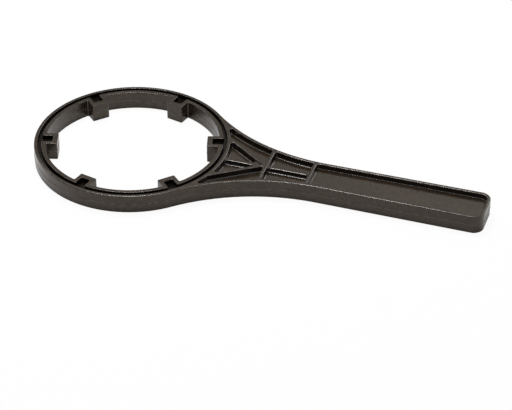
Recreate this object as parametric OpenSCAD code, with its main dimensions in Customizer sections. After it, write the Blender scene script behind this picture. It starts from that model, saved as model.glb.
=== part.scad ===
// Filter housing wrench: a one-piece moulded ring spanner for turning the bowl of a cartridge filter.
// Six cored lugs reach inwards from the ring, and a ribbed neck carries it to a tray-shaped handle.
// Both faces are alike, so the wrench can be turned over to catch the next rib of the bowl. Only the
// lower tray carries the marks of the ejector pins.
// Millimetres. Origin: centre of the ring on the lower face. +X runs along the handle, +Z is up.

/* [Ring] */
// Outside diameter of the ring
ring_od = 140; // [125:1:170]
// Width of the ring from its bore to its outside
ring_w = 8; // [6.5:0.1:12]
// Height of the whole wrench
height = 13.6; // [10:0.2:20]
// Thickness of the ring's outer wall
outer_wall = 2.4; // [1.6:0.1:3.4]
// Thickness of the ring's inner wall
inner_wall = 2.9; // [1.8:0.1:3.9]

/* [Lugs] */
// Number of lugs round the bore
lug_count = 6; // [3:1:10]
// How far each lug reaches in from the bore
lug_reach = 8.8; // [6:0.1:12]
// Width of each lug
lug_w = 13; // [9:0.2:16]
// Wall left on each side of the core of a lug
lug_wall = 2.9; // [2:0.1:3.6]
// Wall left at the tip of a lug
lug_tip_wall = 3.7; // [2.4:0.1:4.4]
// Corner radius at the tip of a lug
lug_round = 1; // [0.4:0.1:2]
// Corner radius where a lug meets the ring and where its core opens into the groove
lug_root = 1; // [0.4:0.1:1.6]
// Angle of the first lug from the handle
lug_turn = 16.4; // [0:0.2:30]

/* [Handle] */
// Distance from the ring's centre to the end of the handle
handle_reach = 259; // [210:1:320]
// Width of the handle across its end
handle_w = 31; // [26:0.5:40]
// Angle at which each side narrows towards the ring
handle_taper = 0.25; // [0:0.05:1]
// Corner radius at the end of the handle
end_round = 7.5; // [4:0.5:12]
// Radius of the hollow that joins the ring to the handle
neck_radius = 135; // [100:5:200]
// Thickness of the wall round the neck and the handle
rim_wall = 2.6; // [1.8:0.1:4]

/* [Pockets and ribs] */
// Depth of the tray and of the ring's groove in each face
pocket_depth = 3.8; // [2:0.1:4.4]
// Depth of the pockets in each face of the neck
neck_depth = 4.4; // [3:0.1:4.8]
// Thickness of the braces and the cross ribs
rib_t = 2.6; // [1.8:0.1:3.6]
// Thickness of the centre rib
centre_t = 3.4; // [2:0.1:4]
// Distance of the first cross rib from the ring's centre
rib1_x = 100.2; // [94:0.2:110]
// Distance of the second cross rib from the ring's centre
rib2_x = 132.5; // [122:0.5:150]
// Angle from the handle at which each brace meets the ring
brace_turn = 19.3; // [16:0.1:24]
// Drop of the centre rib below the rim
centre_drop = 1.1; // [0.4:0.1:1.8]
// Corner radius inside the pockets
pocket_round = 1.5; // [0.6:0.1:2]

/* [Mould marks] */
// Height of the bead left at the parting line
bead_h = 0.5; // [0.3:0.1:1]
// How far the bead stands out
bead_out = 0.15; // [0.1:0.05:0.3]
// Number of ejector marks along the lower tray
pin_count = 3; // [1:1:5]
// Diameter of an ejector mark
pin_d = 5; // [3:0.5:8]
// Depth of an ejector mark
pin_depth = 0.3; // [0.1:0.1:0.6]

/* [Hidden] */
$fn = 120;
ro = ring_od / 2;
ri = ro - ring_w;
lug_tip_r = ri - lug_reach;
groove_in = ri + inner_wall;
groove_out = ro - outer_wall;
// Distance of a handle side, run on, from the ring's centre, and the centre of the neck hollow
side_d = (handle_w / 2 - handle_reach * tan(handle_taper)) * cos(handle_taper);
hollow_u = sqrt(pow(ro + neck_radius, 2) - pow(side_d + neck_radius, 2));
hollow = turned([hollow_u, side_d + neck_radius], handle_taper);
hollow_turn = atan2(hollow[1], hollow[0]);
// Foot of the braces on the first cross rib, and the direction of the upper brace away from it
foot_x = rib1_x - rib_t / 2;
brace_dir = atan2(ro * sin(brace_turn), ro * cos(brace_turn) - foot_x);
// Amounts by which shapes run into each other, so that no two faces only touch
bite = 0.4;
lap = 0.02;
past = 1;

function turned(p, a) = [p[0] * cos(a) - p[1] * sin(a), p[0] * sin(a) + p[1] * cos(a)];
function polar(r, a) = [r * cos(a), r * sin(a)];
// Half width of the handle at x, drawn in by i
function side_y(x, i) = handle_w / 2 - (handle_reach - x) * tan(handle_taper) - i / cos(handle_taper);
// Half width of the neck or handle at x, drawn in by i, and the slope of the wall there
function hollow_y(x, i) = hollow[1] - sqrt(pow(neck_radius + i, 2) - pow(x - hollow[0], 2));
function wall_y(x, i) = x < hollow[0] ? hollow_y(x, i) : side_y(x, i);
function wall_dir(x, i) = atan2(wall_y(x + 0.5, i) - wall_y(x - 0.5, i), 1);
// Centre of the circle of radius r that sits between the ring and the neck hollow drawn in by i
function nook_a(r, i) = acos((pow(ro + r, 2) + pow(ro + neck_radius, 2) - pow(neck_radius + i + r, 2))
    / (2 * (ro + r) * (ro + neck_radius)));
function nook(r, i) = polar(ro + r, hollow_turn - nook_a(r, i));
// Point at height y on the right of a circle of radius r
function on_circle(r, y) = [sqrt(r * r - y * y), y];
// Where a line from p in direction a meets a circle of radius r round the ring
function ring_hit(p, a, r = ro) = let (b = p[0] * cos(a) + p[1] * sin(a))
    p + (-b - sqrt(b * b - p[0] * p[0] - p[1] * p[1] + r * r)) * [cos(a), sin(a)];

// Sliver between a circle of radius r and the two edges that leave p in directions a and b
module corner(p, a, b, r) {
    half = (b - a) / 2;
    mid = (a + b) / 2;
    c = p + polar(r / sin(half), mid);
    difference() {
        polygon([
            p - polar(bite, mid),
            p + polar(r / tan(half), a) - polar(bite, a + 90),
            c,
            p + polar(r / tan(half), b) - polar(bite, b - 90)
        ]);
        translate(c) circle(r + lap);
    }
}

module both_sides() {
    children();
    mirror([0, 1, 0]) children();
}

// Outline of the handle drawn in by i
module handle_plan(i) {
    x = handle_reach - i;
    difference() {
        polygon([[0, -side_y(0, i)], [x, -side_y(x, i)], [x, side_y(x, i)], [0, side_y(0, i)]]);
        both_sides() corner([x, side_y(x, i)], 180 + handle_taper, 270, end_round - i);
    }
}

// Outline of the neck drawn in by i
module neck_plan(i) {
    ring_end = polar(ro + 3, hollow_turn);
    handle_end = hollow - polar(neck_radius - 1, 90 + handle_taper);
    difference() {
        polygon([
            [0, 0], ring_end, handle_end,
            [handle_end[0], -handle_end[1]], [ring_end[0], -ring_end[1]]
        ]);
        both_sides() translate(hollow) circle(neck_radius + i + lap, $fn = 360);
    }
}

// Outline of the whole wrench drawn in by i
module plan(i) {
    circle(ro - i);
    neck_plan(i);
    handle_plan(i);
}

// A lug on the X axis with its sides moved out by grow
module lug_plan(grow) {
    tip = lug_tip_r - grow;
    w = lug_w + 2 * grow;
    difference() {
        translate([tip, -w / 2]) square([ri + inner_wall / 2 - tip, w]);
        both_sides() corner([tip, w / 2], 270, 360, lug_round + grow);
    }
    both_sides() root_corner(ri - grow, w / 2, lug_root - grow);
}

// Rounding between the side of a lug or of its core, at height y, and a circle of radius r round the ring
module root_corner(r, y, rounding) {
    corner(on_circle(r, y), 90 + asin(y / r), 180, rounding);
}

// The opening that passes over the bowl, drawn in by i
module bore_plan(i) {
    difference() {
        circle(ri - i);
        for (k = [0 : lug_count - 1]) rotate(lug_turn + k * 360 / lug_count) lug_plan(i);
    }
}

// The groove between the ring's walls, which runs on into the core of each lug
module groove_plan() {
    slot_x = lug_tip_r + lug_tip_wall;
    slot_y = lug_w / 2 - lug_wall;
    difference() {
        union() {
            difference() {
                circle(groove_out);
                circle(groove_in);
            }
            for (k = [0 : lug_count - 1]) rotate(lug_turn + k * 360 / lug_count) {
                translate([slot_x, -slot_y]) square([(groove_in + groove_out) / 2 - slot_x, 2 * slot_y]);
                both_sides() root_corner(groove_in, slot_y, lug_root);
            }
        }
        for (k = [0 : lug_count - 1]) rotate(lug_turn + k * 360 / lug_count)
            both_sides() corner([slot_x, slot_y], 270, 360, slot_y * 0.4);
    }
}

// Tray inside the rim, with the two cross ribs left standing and their corners filled
module tray_plan() {
    difference() {
        plan(rim_wall);
        circle(ro);
        for (x = [rib1_x, rib2_x]) {
            translate([x, 0]) square([rib_t, ring_od], center = true);
            both_sides() {
                right = x + rib_t / 2;
                left = x - rib_t / 2;
                right_dir = wall_dir(right, rim_wall);
                left_dir = wall_dir(left, rim_wall);
                corner([right, wall_y(right, rim_wall)], 270, 360 + right_dir, pocket_round);
                corner([left, wall_y(left, rim_wall)], 180 + left_dir, 270, pocket_round);
            }
        }
        both_sides() nook_fill();
    }
}

// Rounded end of the pocket where the neck runs into the ring
module nook_fill() {
    c = nook(pocket_round, rim_wall);
    tip = nook(0, rim_wall);
    ring_side = c - polar(pocket_round + bite, atan2(c[1], c[0]));
    out = atan2(hollow[1] - c[1], hollow[0] - c[0]);
    difference() {
        polygon([c, ring_side, tip, c + polar(pocket_round + bite, out)]);
        translate(c) circle(pocket_round + lap);
    }
}

// The two braces, with the corners at their ends filled
module brace_plan() {
    t = rib_t / 2;
    foot = [foot_x, 0];
    outer_hit = ring_hit(foot + polar(t, brace_dir - 90), brace_dir);
    outer_a = atan2(outer_hit[1], outer_hit[0]);
    both_sides() {
        translate(foot) rotate(brace_dir) translate([0, -t]) square([ro, rib_t]);
        corner([foot_x, t / cos(180 - brace_dir)], 90, brace_dir, pocket_round);
        corner(outer_hit, brace_dir - 180, outer_a + 90, pocket_round);
        brace_nook();
    }
}

// Rounded end of the pocket between the inner side of a brace and the ring
module brace_nook() {
    t = rib_t / 2;
    c = ring_hit([foot_x, 0] + polar(t + pocket_round, brace_dir + 90), brace_dir, ro + pocket_round);
    tip = ring_hit([foot_x, 0] + polar(t - bite, brace_dir + 90), brace_dir, ro - bite);
    difference() {
        polygon([
            c,
            c - polar(pocket_round + bite, atan2(c[1], c[0])),
            tip,
            c + polar(pocket_round + bite, brace_dir - 90)
        ]);
        translate(c) circle(pocket_round + lap);
    }
}

// Centre rib, with the corners at its ends and beside the braces filled
module centre_plan() {
    t = rib_t / 2;
    c = centre_t / 2;
    slant = 180 - brace_dir;
    translate([groove_out, -c]) square([rib2_x - groove_out, centre_t]);
    both_sides() {
        corner([foot_x - (c * cos(slant) + t) / sin(slant), c], brace_dir, 180, pocket_round);
        corner([rib1_x + t, c], 0, 90, pocket_round);
        corner([rib2_x - t, c], 90, 180, pocket_round);
        corner(on_circle(ro, c), 0, 90 + asin(c / ro), pocket_round);
    }
}

// Everything on the handle's side of the second cross rib
module handle_half() {
    translate([rib2_x, -ring_od]) square([handle_reach, 2 * ring_od]);
}

// Everything cut from the upper face, with its origin on that face
module face_cut() {
    translate([0, 0, -pocket_depth]) linear_extrude(pocket_depth + past) groove_plan();
    translate([0, 0, -pocket_depth]) linear_extrude(pocket_depth + past) intersection() {
        tray_plan();
        handle_half();
    }
    translate([0, 0, -centre_drop]) linear_extrude(centre_drop + past) difference() {
        tray_plan();
        handle_half();
        brace_plan();
    }
    translate([0, 0, -neck_depth]) linear_extrude(neck_depth + past) difference() {
        tray_plan();
        handle_half();
        brace_plan();
        centre_plan();
    }
}

// Marks left by the ejector pins, evenly along the tray between the second cross rib and the end
module pin_marks() {
    pitch = (handle_reach - rib2_x) / pin_count;
    for (k = [0 : pin_count - 1]) translate([rib2_x + (k + 0.5) * pitch, 0, 0])
        cylinder(h = pocket_depth + pin_depth, d = pin_d);
}

module wrench() {
    color([0.16, 0.15, 0.14]) difference() {
        union() {
            linear_extrude(height) difference() {
                plan(0);
                bore_plan(0);
            }
            translate([0, 0, (height - bead_h) / 2]) linear_extrude(bead_h) difference() {
                plan(-bead_out);
                bore_plan(bead_out);
            }
        }
        translate([0, 0, height]) face_cut();
        mirror([0, 0, 1]) face_cut();
        pin_marks();
    }
}

wrench();
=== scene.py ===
import math

import bmesh
import bpy
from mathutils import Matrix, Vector


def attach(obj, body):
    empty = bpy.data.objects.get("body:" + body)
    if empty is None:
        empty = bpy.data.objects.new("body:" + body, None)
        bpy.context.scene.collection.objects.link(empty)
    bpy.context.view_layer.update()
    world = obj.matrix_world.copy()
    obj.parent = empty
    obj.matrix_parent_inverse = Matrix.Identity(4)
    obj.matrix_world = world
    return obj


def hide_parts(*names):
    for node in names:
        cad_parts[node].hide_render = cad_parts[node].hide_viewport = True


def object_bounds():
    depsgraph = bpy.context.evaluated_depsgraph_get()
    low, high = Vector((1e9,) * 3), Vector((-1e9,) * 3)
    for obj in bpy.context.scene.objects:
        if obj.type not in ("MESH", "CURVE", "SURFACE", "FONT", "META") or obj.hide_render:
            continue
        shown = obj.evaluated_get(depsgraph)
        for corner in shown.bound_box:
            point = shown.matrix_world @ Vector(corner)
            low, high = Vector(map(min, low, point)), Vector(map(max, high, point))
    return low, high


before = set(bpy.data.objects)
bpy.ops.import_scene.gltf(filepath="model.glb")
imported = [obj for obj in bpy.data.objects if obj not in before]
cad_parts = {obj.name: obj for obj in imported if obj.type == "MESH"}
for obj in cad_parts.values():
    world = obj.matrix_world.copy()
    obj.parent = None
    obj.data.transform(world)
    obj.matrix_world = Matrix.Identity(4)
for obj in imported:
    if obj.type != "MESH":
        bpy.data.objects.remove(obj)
cadLow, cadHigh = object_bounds()
print("frame loaded, box", [round(v, 4) for v in cadHigh - cadLow])


# everything below works on one object at a time, so nothing else stays selected
def makeActive(obj):
    bpy.ops.object.select_all(action="DESELECT")
    obj.select_set(True)
    bpy.context.view_layer.objects.active = obj


# the moulding: sunk levels as in the source and radii left by the cutter, lengths in metres
wrenchShape = {
    "trayDepth": 0.0038,     # tray, ring groove and lug cores
    "neckDepth": 0.0044,
    "centreDrop": 0.0011,    # centre rib below the rim
    "beadHeight": 0.0005,    # parting bead round the sides
    "rimRound": 0.0007,
    "boreRound": 0.0003,     # bore, lugs and ring groove
    "boreReach": 0.0685,     # how far from the ring's centre those edges go
    "centreRound": 0.0007,
    "trayFillet": 0.0006,
    "neckFillet": 0.0011,
    "beadRound": 0.00014,
    "beadRubAndHighlight": 4.0,         # the rims' share of painted highlight and rubbed roughness is 1
    "roundSteps": 3,
    "runOut": 100.0,         # how fast the rib rounding grows away from a wall, per metre
    "runOutEnd": 0.1,        # share of the rib rounding below which it is left off
    "levelSlack": 0.00002,
    "nearby": 0.000001,      # points this close are one
    "crowded": 0.00008,      # points this close on a flat become one after the rounding
    # a point and a direction for each cut
    "cuts": [((0, 0, 0), (0, 1, 0)), ((0.085, 0, 0), (1, 0, 0))],
    "flatAngle": math.radians(0.3),
    "sharpAngle": math.radians(60),
    "smoothAngle": math.radians(40),
}

# levels are heights from the parting plane, since both faces are alike
midZ = (cadLow.z + cadHigh.z) / 2
rimLevel = (cadHigh.z - cadLow.z) / 2
centreLevel = rimLevel - wrenchShape["centreDrop"]

# level of the corner, 1 for an outer and -1 for an inner one, and its radius
cornerRadii = [
    (rimLevel, 1, wrenchShape["rimRound"]),
    (centreLevel, 1, wrenchShape["centreRound"]),
    (wrenchShape["beadHeight"] / 2, 1, wrenchShape["beadRound"]),
    (rimLevel - wrenchShape["trayDepth"], -1, wrenchShape["trayFillet"]),
    (rimLevel - wrenchShape["neckDepth"], -1, wrenchShape["neckFillet"]),
]
widest = max(radius for level, side, radius in cornerRadii)


def vertLevel(vert):
    return abs(vert.co.z - midZ)


# level of an edge, or None where the edge isn't level
def edgeLevel(edge):
    first, second = edge.verts
    levels = vertLevel(first), vertLevel(second)
    sameSide = (first.co.z - midZ) * (second.co.z - midZ) > 0
    if not sameSide or abs(levels[0] - levels[1]) > wrenchShape["levelSlack"]:
        return None
    return sum(levels) / 2


def atLevel(edge, height):
    level = edgeLevel(edge)
    return level is not None and abs(level - height) < wrenchShape["levelSlack"]


# positive on an outer corner, negative on an inner one
def cornerAngle(edge):
    return edge.calc_face_angle_signed(0.0)


# turns the triangles of the CAD mesh into whole flat faces
def joinFlats(piece):
    s = wrenchShape
    bpy.ops.mesh.select_mode(type="EDGE")
    bpy.ops.mesh.select_all(action="SELECT")
    bpy.ops.mesh.remove_doubles(threshold=s["nearby"])
    # two cuts leave no flat face with a hole in it, so the roundings below run in clean loops
    for spot, across in s["cuts"]:
        bpy.ops.mesh.select_all(action="SELECT")
        bpy.ops.mesh.bisect(plane_co=spot, plane_no=across, threshold=s["nearby"])
        cage = bmesh.from_edit_mesh(piece.data)
        for edge in cage.edges:
            offsets = [(vert.co - Vector(spot)).dot(Vector(across)) for vert in edge.verts]
            edge.seam = edge.seam or all(abs(offset) < s["nearby"] for offset in offsets)
        bmesh.update_edit_mesh(piece.data)
    bpy.ops.mesh.select_all(action="SELECT")
    bpy.ops.mesh.dissolve_limited(angle_limit=s["flatAngle"], delimit={"SEAM"})
    bpy.ops.mesh.select_all(action="SELECT")
    bpy.ops.mesh.mark_seam(clear=True)


# gives each corner its radius, as a share of the widest one
def weighCorners(piece):
    s = wrenchShape
    cage = bmesh.from_edit_mesh(piece.data)
    weights = cage.edges.layers.float.new("bevel_weight_edge")
    ribEnds = []
    for edge in cage.edges:
        if atLevel(edge, centreLevel) and cornerAngle(edge) < -s["sharpAngle"]:
            ribEnds += [vert.co.copy() for vert in edge.verts]
    for edge in cage.edges:
        for level, side, radius in cornerRadii:
            if not atLevel(edge, level) or cornerAngle(edge) * side < s["sharpAngle"]:
                continue
            middle = (edge.verts[0].co + edge.verts[1].co) / 2
            if level == rimLevel and middle.xy.length < s["boreReach"]:
                radius = s["boreRound"]
            # the centre rib is lower than the walls it runs into, so its rounding fades out there
            if level == centreLevel:
                away = min((middle - end).length for end in ribEnds)
                radius = min(radius, s["runOut"] * away ** 2)
                radius = radius if radius > s["runOutEnd"] * s["centreRound"] else 0.0
            edge[weights] = radius / widest
    bmesh.update_edit_mesh(piece.data)


def roundCorners(piece):
    s = wrenchShape
    rounding = piece.modifiers.new("cutterRadii", "BEVEL")
    rounding.limit_method = "WEIGHT"
    rounding.width = widest
    rounding.segments = s["roundSteps"]
    rounding.loop_slide = False
    rounding.use_clamp_overlap = False
    bpy.ops.object.modifier_apply(modifier=rounding.name)

    # at the tightest corners the roundings push their last points past each other
    bpy.ops.object.mode_set(mode="EDIT")
    bpy.ops.mesh.select_mode(type="VERT")
    bpy.ops.mesh.select_all(action="DESELECT")
    cage = bmesh.from_edit_mesh(piece.data)
    flatLevels = [level for level, side, radius in cornerRadii if radius > s["beadRound"]]
    for vert in cage.verts:
        gaps = [abs(vertLevel(vert) - level) for level in flatLevels]
        vert.select_set(min(gaps) < s["levelSlack"])
    bmesh.update_edit_mesh(piece.data)
    bpy.ops.mesh.remove_doubles(threshold=s["crowded"])
    bpy.ops.object.mode_set(mode="OBJECT")

    bpy.ops.object.shade_smooth_by_angle(angle=s["smoothAngle"])
    evenShading = piece.modifiers.new("evenShading", "WEIGHTED_NORMAL")
    evenShading.keep_sharp = True
    bpy.ops.object.modifier_apply(modifier=evenShading.name)


# the roundings of the rims and the parting bead get a painted highlight, a lighter colour in
# patches that are also rougher as if rubbed;
# fillets come out as bright as the rims but get no painted highlight; the narrow groove gets
# painted shade, darker and less glossy
def markHighlightAndShade(piece):
    s = wrenchShape
    slack = s["levelSlack"]
    rubAndHighlight = piece.data.attributes.new("edgeRubAndHighlight", "FLOAT", "POINT")
    shine = piece.data.attributes.new("edgeShine", "FLOAT", "POINT")
    grooveShadeMark = piece.data.attributes.new("grooveShadeMask", "FLOAT", "POINT")
    fillets = [(s["trayDepth"], s["trayFillet"]), (s["neckDepth"], s["neckFillet"])]
    for vert in piece.data.vertices:
        below = rimLevel - vertLevel(vert)
        onRing = vert.co.xy.length < s["boreReach"]
        edgeRound = s["boreRound"] if onRing else s["rimRound"]
        onRound = slack < below < edgeRound - slack
        onBead = vertLevel(vert) < s["beadHeight"] / 2 - slack
        onRib = slack < below - s["centreDrop"] < s["centreRound"] - slack
        onFloor = any(abs(below - depth) < slack for depth, radius in fillets)
        inSpan = any(depth - radius < below < depth for depth, radius in fillets)
        onFillet = inSpan and not onFloor
        inGroove = onRing and (onFillet or onFloor)
        bright = onRound or onRib or onBead or onFillet and not inGroove
        rubAndHighlight.data[vert.index].value = s["beadRubAndHighlight"] if onBead else float(onRound)
        shine.data[vert.index].value = float(bright)
        grooveShadeMark.data[vert.index].value = float(inGroove)


def makeWrench():
    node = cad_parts["wrench"]
    piece = bpy.data.objects.new("mouldedWrench", node.data.copy())
    bpy.context.scene.collection.objects.link(piece)
    makeActive(piece)
    bpy.ops.object.mode_set(mode="EDIT")
    joinFlats(piece)
    weighCorners(piece)
    bpy.ops.object.mode_set(mode="OBJECT")
    roundCorners(piece)
    markHighlightAndShade(piece)
    print("wrench shaped,", len(piece.data.polygons), "faces")
    return piece


# dark moulded plastic with a satin skin; scales are per metre, heights in metres,
# and a span is the part of a noise's values that is spread over the whole range
plasticFinish = {
    "colour": (0.0138, 0.0082, 0.0040, 1),
    "flowColour": (0.0205, 0.0130, 0.0070, 1),
    # painted highlight: the lighter colour of the rims and the bead
    "paintedEdgeHighlight": (0.110, 0.100, 0.091, 1),
    # painted shade: the darker colour of the narrow groove
    "paintedGrooveShade": (0.0060, 0.0046, 0.0036, 1),
    "ior": 1.56,
    "sheen": (1.0, 0.86, 0.75, 1),
    "edgeSheen": (1.0, 1.0, 1.0, 1),
    "roughness": (0.19, 0.28),
    "wornRoughness": 0.27,
    "gloss": (0.43, 0.57),
    # weaker reflection in the groove, part of its painted shade
    "grooveShadeGloss": 0.1,
    "flowStretch": (40.0, 160.0, 160.0),
    "flowNoise": {"scale": 1.0, "detail": 4.0, "span": (0.4, 0.65)},
    "smudgeNoise": {"scale": 45.0, "detail": 3.0, "span": (0.35, 0.65)},
    # patches of painted highlight and rubbed roughness
    "rubAndHighlightNoise": {"scale": 260.0, "detail": 2.0, "span": (0.45, 0.7)},
    "glossNoise": {"scale": 330.0, "detail": 4.0, "span": (0.3, 0.7)},
    "waves": {"scale": 260.0, "detail": 2.0, "height": 0.000015},
    "grain": {"scale": 2600.0, "detail": 2.0, "height": 0.000004},
}


def addNode(tree, kind, **sockets):
    node = tree.nodes.new(kind)
    for name, value in sockets.items():
        node.inputs[name].default_value = value
    return node


def addAttribute(tree, name):
    attribute = tree.nodes.new("ShaderNodeAttribute")
    attribute.attribute_name = name
    return attribute.outputs["Fac"]


def addNoise(tree, vector, pattern):
    noise = addNode(tree, "ShaderNodeTexNoise", Scale=pattern["scale"], Detail=pattern["detail"])
    tree.links.new(vector, noise.inputs["Vector"])
    return noise.outputs[0]


# spreads the values from one pair of ends to another
def addRange(tree, value, fromEnds, toEnds):
    names = ("From Min", "From Max", "To Min", "To Max")
    spread = addNode(tree, "ShaderNodeMapRange", **dict(zip(names, (*fromEnds, *toEnds))))
    tree.links.new(value, spread.inputs["Value"])
    return spread.outputs["Result"]


def addPattern(tree, vector, pattern, toEnds=(0.0, 1.0)):
    return addRange(tree, addNoise(tree, vector, pattern), pattern["span"], toEnds)


def addBump(tree, vector, pattern):
    bump = addNode(tree, "ShaderNodeBump", Distance=pattern["height"])
    tree.links.new(addNoise(tree, vector, pattern), bump.inputs["Height"])
    return bump


# joins a factor and two ends, each a socket or a plain value
def addMix(tree, kind, factor, first, second):
    mix = tree.nodes.new("ShaderNodeMix")
    mix.data_type = kind
    inputs = [socket for socket in mix.inputs if socket.enabled]
    for socket, source in zip(inputs, (factor, first, second)):
        if isinstance(source, bpy.types.NodeSocket):
            tree.links.new(source, socket)
        else:
            socket.default_value = source
    return next(socket for socket in mix.outputs if socket.enabled)


def makePlastic():
    f = plasticFinish
    material = bpy.data.materials.new("satinPlastic")
    material.use_nodes = True
    tree = material.node_tree
    shader = tree.nodes["Principled BSDF"]
    shader.inputs["IOR"].default_value = f["ior"]
    place = tree.nodes.new("ShaderNodeTexCoord").outputs["Object"]

    # flow marks run along the handle
    stretched = addNode(tree, "ShaderNodeMapping", Scale=f["flowStretch"])
    tree.links.new(place, stretched.inputs["Vector"])
    flow = addPattern(tree, stretched.outputs[0], f["flowNoise"])
    smudge = addPattern(tree, place, f["smudgeNoise"], f["roughness"])

    # painted highlight on the rims and the bead, in patches that are also rougher as if rubbed
    rubAndHighlightNode = tree.nodes.new("ShaderNodeMath")
    rubAndHighlightNode.operation = "MULTIPLY"
    rubAndHighlightNode.use_clamp = True
    tree.links.new(addAttribute(tree, "edgeRubAndHighlight"), rubAndHighlightNode.inputs[0])
    tree.links.new(addPattern(tree, place, f["rubAndHighlightNoise"]), rubAndHighlightNode.inputs[1])
    rubAndHighlight = rubAndHighlightNode.outputs[0]

    # painted shade: the groove gets a darker colour and a weaker reflection
    groove = addAttribute(tree, "grooveShadeMask")
    colour = addMix(tree, "RGBA", flow, f["colour"], f["flowColour"])
    colour = addMix(tree, "RGBA", groove, colour, f["paintedGrooveShade"])
    colour = addMix(tree, "RGBA", rubAndHighlight, colour, f["paintedEdgeHighlight"])
    tree.links.new(colour, shader.inputs["Base Color"])
    shine = addAttribute(tree, "edgeShine")
    sheen = addMix(tree, "RGBA", shine, f["sheen"], f["edgeSheen"])
    tree.links.new(sheen, shader.inputs["Specular Tint"])
    skin = addMix(tree, "FLOAT", rubAndHighlight, smudge, f["wornRoughness"])
    tree.links.new(skin, shader.inputs["Roughness"])
    gloss = addPattern(tree, place, f["glossNoise"], f["gloss"])
    gloss = addMix(tree, "FLOAT", groove, gloss, f["grooveShadeGloss"])
    tree.links.new(gloss, shader.inputs["Specular IOR Level"])

    # shallow sink waves under a fine spark-eroded grain
    waves = addBump(tree, place, f["waves"])
    grain = addBump(tree, place, f["grain"])
    tree.links.new(waves.outputs[0], grain.inputs["Normal"])
    tree.links.new(grain.outputs[0], shader.inputs["Normal"])
    print("plastic mixed")
    return material


# white table with a faint contact shadow, in a white room that reflections show dimmer
# low down and to the left
stageLook = {
    "floorSize": 8.0,
    "floorDrop": 0.0002,
    "floorColour": (0.95, 0.95, 0.95, 1),
    "white": (1, 1, 1, 1),
    "whiteLevel": 1.0,
    "plainInView": 0.95,     # share of the table that is plain white to the camera
    "plainInGloss": 0.5,     # the same in reflections, where the shadow counts for more
    "fill": 0.12,            # sky level for soft light
    "roomLean": (0.55, 0.0, 1.0),
    "roomSpan": (0.36, 0.482),    # where along the lean the room's level changes
    "roomLevels": (0.3, 1.0),     # its level before and after
}


# how much of the plain white shows: one share to the camera, another in reflections
# and through glass
def backgroundShare(tree, inView, inGloss):
    path = tree.nodes.new("ShaderNodeLightPath")
    shares = {
        "Is Camera Ray": inView,
        "Is Glossy Ray": inGloss,
        "Is Transmission Ray": inGloss,
    }
    total = None
    for name, share in shares.items():
        part = tree.nodes.new("ShaderNodeMath")
        part.operation = "MULTIPLY_ADD"
        part.use_clamp = True
        part.inputs[1].default_value = share
        part.inputs[2].default_value = 0.0
        tree.links.new(path.outputs[name], part.inputs[0])
        if total:
            tree.links.new(total, part.inputs[2])
        total = part.outputs[0]
    return total


def mixShaders(tree, factor, first, second):
    mix = tree.nodes.new("ShaderNodeMixShader")
    for socket, source in zip(mix.inputs, (factor, first, second)):
        tree.links.new(source, socket)
    return mix.outputs[0]


def makeTable():
    s = stageLook
    bpy.ops.object.select_all(action="DESELECT")
    place = (0, 0, cadLow.z - s["floorDrop"])
    bpy.ops.mesh.primitive_plane_add(size=s["floorSize"], location=place)
    floor = bpy.context.active_object
    floor.name = "whiteTable"
    material = bpy.data.materials.new("whiteTable")
    material.use_nodes = True
    tree = material.node_tree
    tree.nodes.remove(tree.nodes["Principled BSDF"])
    lit = addNode(tree, "ShaderNodeBsdfDiffuse", Color=s["floorColour"])
    plain = addNode(tree, "ShaderNodeEmission", Color=s["white"], Strength=s["whiteLevel"])
    share = backgroundShare(tree, s["plainInView"], s["plainInGloss"])
    blend = mixShaders(tree, share, lit.outputs[0], plain.outputs[0])
    # seen from below the table is clear
    below = tree.nodes.new("ShaderNodeNewGeometry").outputs["Backfacing"]
    clear = tree.nodes.new("ShaderNodeBsdfTransparent")
    oneSided = mixShaders(tree, below, blend, clear.outputs[0])
    tree.links.new(oneSided, tree.nodes["Material Output"].inputs["Surface"])
    floor.data.materials.append(material)
    print("table laid")


def makeRoom():
    s = stageLook
    world = bpy.data.worlds.new("whiteRoom")
    world.use_nodes = True
    bpy.context.scene.world = world
    sky = world.node_tree
    soft = addNode(sky, "ShaderNodeBackground", Color=s["white"], Strength=s["fill"])
    room = addNode(sky, "ShaderNodeBackground", Color=s["white"])
    white = addNode(sky, "ShaderNodeBackground", Color=s["white"], Strength=s["whiteLevel"])
    lean = sky.nodes.new("ShaderNodeVectorMath")
    lean.operation = "DOT_PRODUCT"
    lean.inputs[1].default_value = s["roomLean"]
    sky.links.new(sky.nodes.new("ShaderNodeTexCoord").outputs["Generated"], lean.inputs[0])
    level = addRange(sky, lean.outputs["Value"], s["roomSpan"], s["roomLevels"])
    sky.links.new(level, room.inputs["Strength"])
    inGloss = backgroundShare(sky, 0.0, 1.0)
    inView = backgroundShare(sky, 1.0, 0.0)
    unseen = mixShaders(sky, inGloss, soft.outputs[0], room.outputs[0])
    seen = mixShaders(sky, inView, unseen, white.outputs[0])
    sky.links.new(seen, sky.nodes["World Output"].inputs["Surface"])
    print("room lit")


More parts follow.
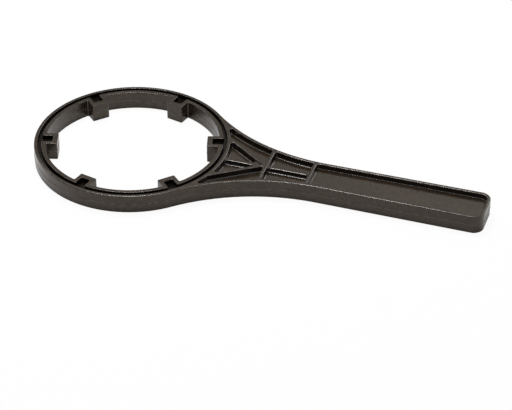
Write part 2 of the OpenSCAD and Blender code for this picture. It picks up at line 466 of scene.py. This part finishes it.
# soft boxes: place, aim, width and depth in metres, and power in watts
lampSetup = {
    "topBox": {
        "place": (-0.22, 0.33, 1.35),
        "aim": (-0.22, 0, 0),
        "size": (0.42, 0.40),
        "power": 18.5,
    },
    "rightBox": {
        "place": (0.48, 1.17, 0.86),
        "aim": (0.09, 0, 0),
        "size": (0.45, 0.45),
        "power": 2.5,
    },
    "leftBox": {
        "place": (-0.80, 0.66, 1.02),
        "aim": (0.09, 0, 0),
        "size": (0.45, 0.45),
        "power": 2.2,
    },
}


# turns lamps and cameras, which look down their own -Z, along a direction
def facing(direction):
    return direction.to_track_quat("-Z", "Y").to_euler()


def makeLamps():
    for name, lamp in lampSetup.items():
        data = bpy.data.lights.new(name, "AREA")
        data.shape = "RECTANGLE"
        data.size, data.size_y = lamp["size"]
        data.energy = lamp["power"]
        box = bpy.data.objects.new(name, data)
        bpy.context.scene.collection.objects.link(box)
        box.location = lamp["place"]
        box.rotation_euler = facing(Vector(lamp["aim"]) - Vector(lamp["place"]))
    print("lamps lit")


# the photograph's viewpoint, as an orbit round a point on the table: metres, degrees,
# and millimetres for the lens and the film
cameraView = {
    "aim": (0.1025, -0.0301, 0.0),
    "azimuth": 18.31,
    "elevation": 35.65,
    "distance": 1.561,
    "lens": 158.4,
    "filmWidth": 36.0,
}


def makeCamera():
    v = cameraView
    turn = math.radians(v["azimuth"])
    rise = math.radians(v["elevation"])
    level = math.cos(rise)
    back = Vector((math.sin(turn) * level, -math.cos(turn) * level, math.sin(rise)))
    data = bpy.data.cameras.new("photoCamera")
    data.sensor_fit = "HORIZONTAL"
    data.sensor_width = v["filmWidth"]
    data.lens = v["lens"]
    camera = bpy.data.objects.new("photoCamera", data)
    bpy.context.scene.collection.objects.link(camera)
    camera.location = Vector(v["aim"]) + back * v["distance"]
    camera.rotation_euler = facing(-back)
    bpy.context.scene.camera = camera
    print("camera placed")


makeCamera()
makeTable()
makeRoom()
makeLamps()
wrench = makeWrench()
wrench.data.materials.clear()
wrench.data.materials.append(makePlastic())
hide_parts("wrench")
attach(wrench, "root")

bpy.context.scene.view_settings.view_transform = "Standard"
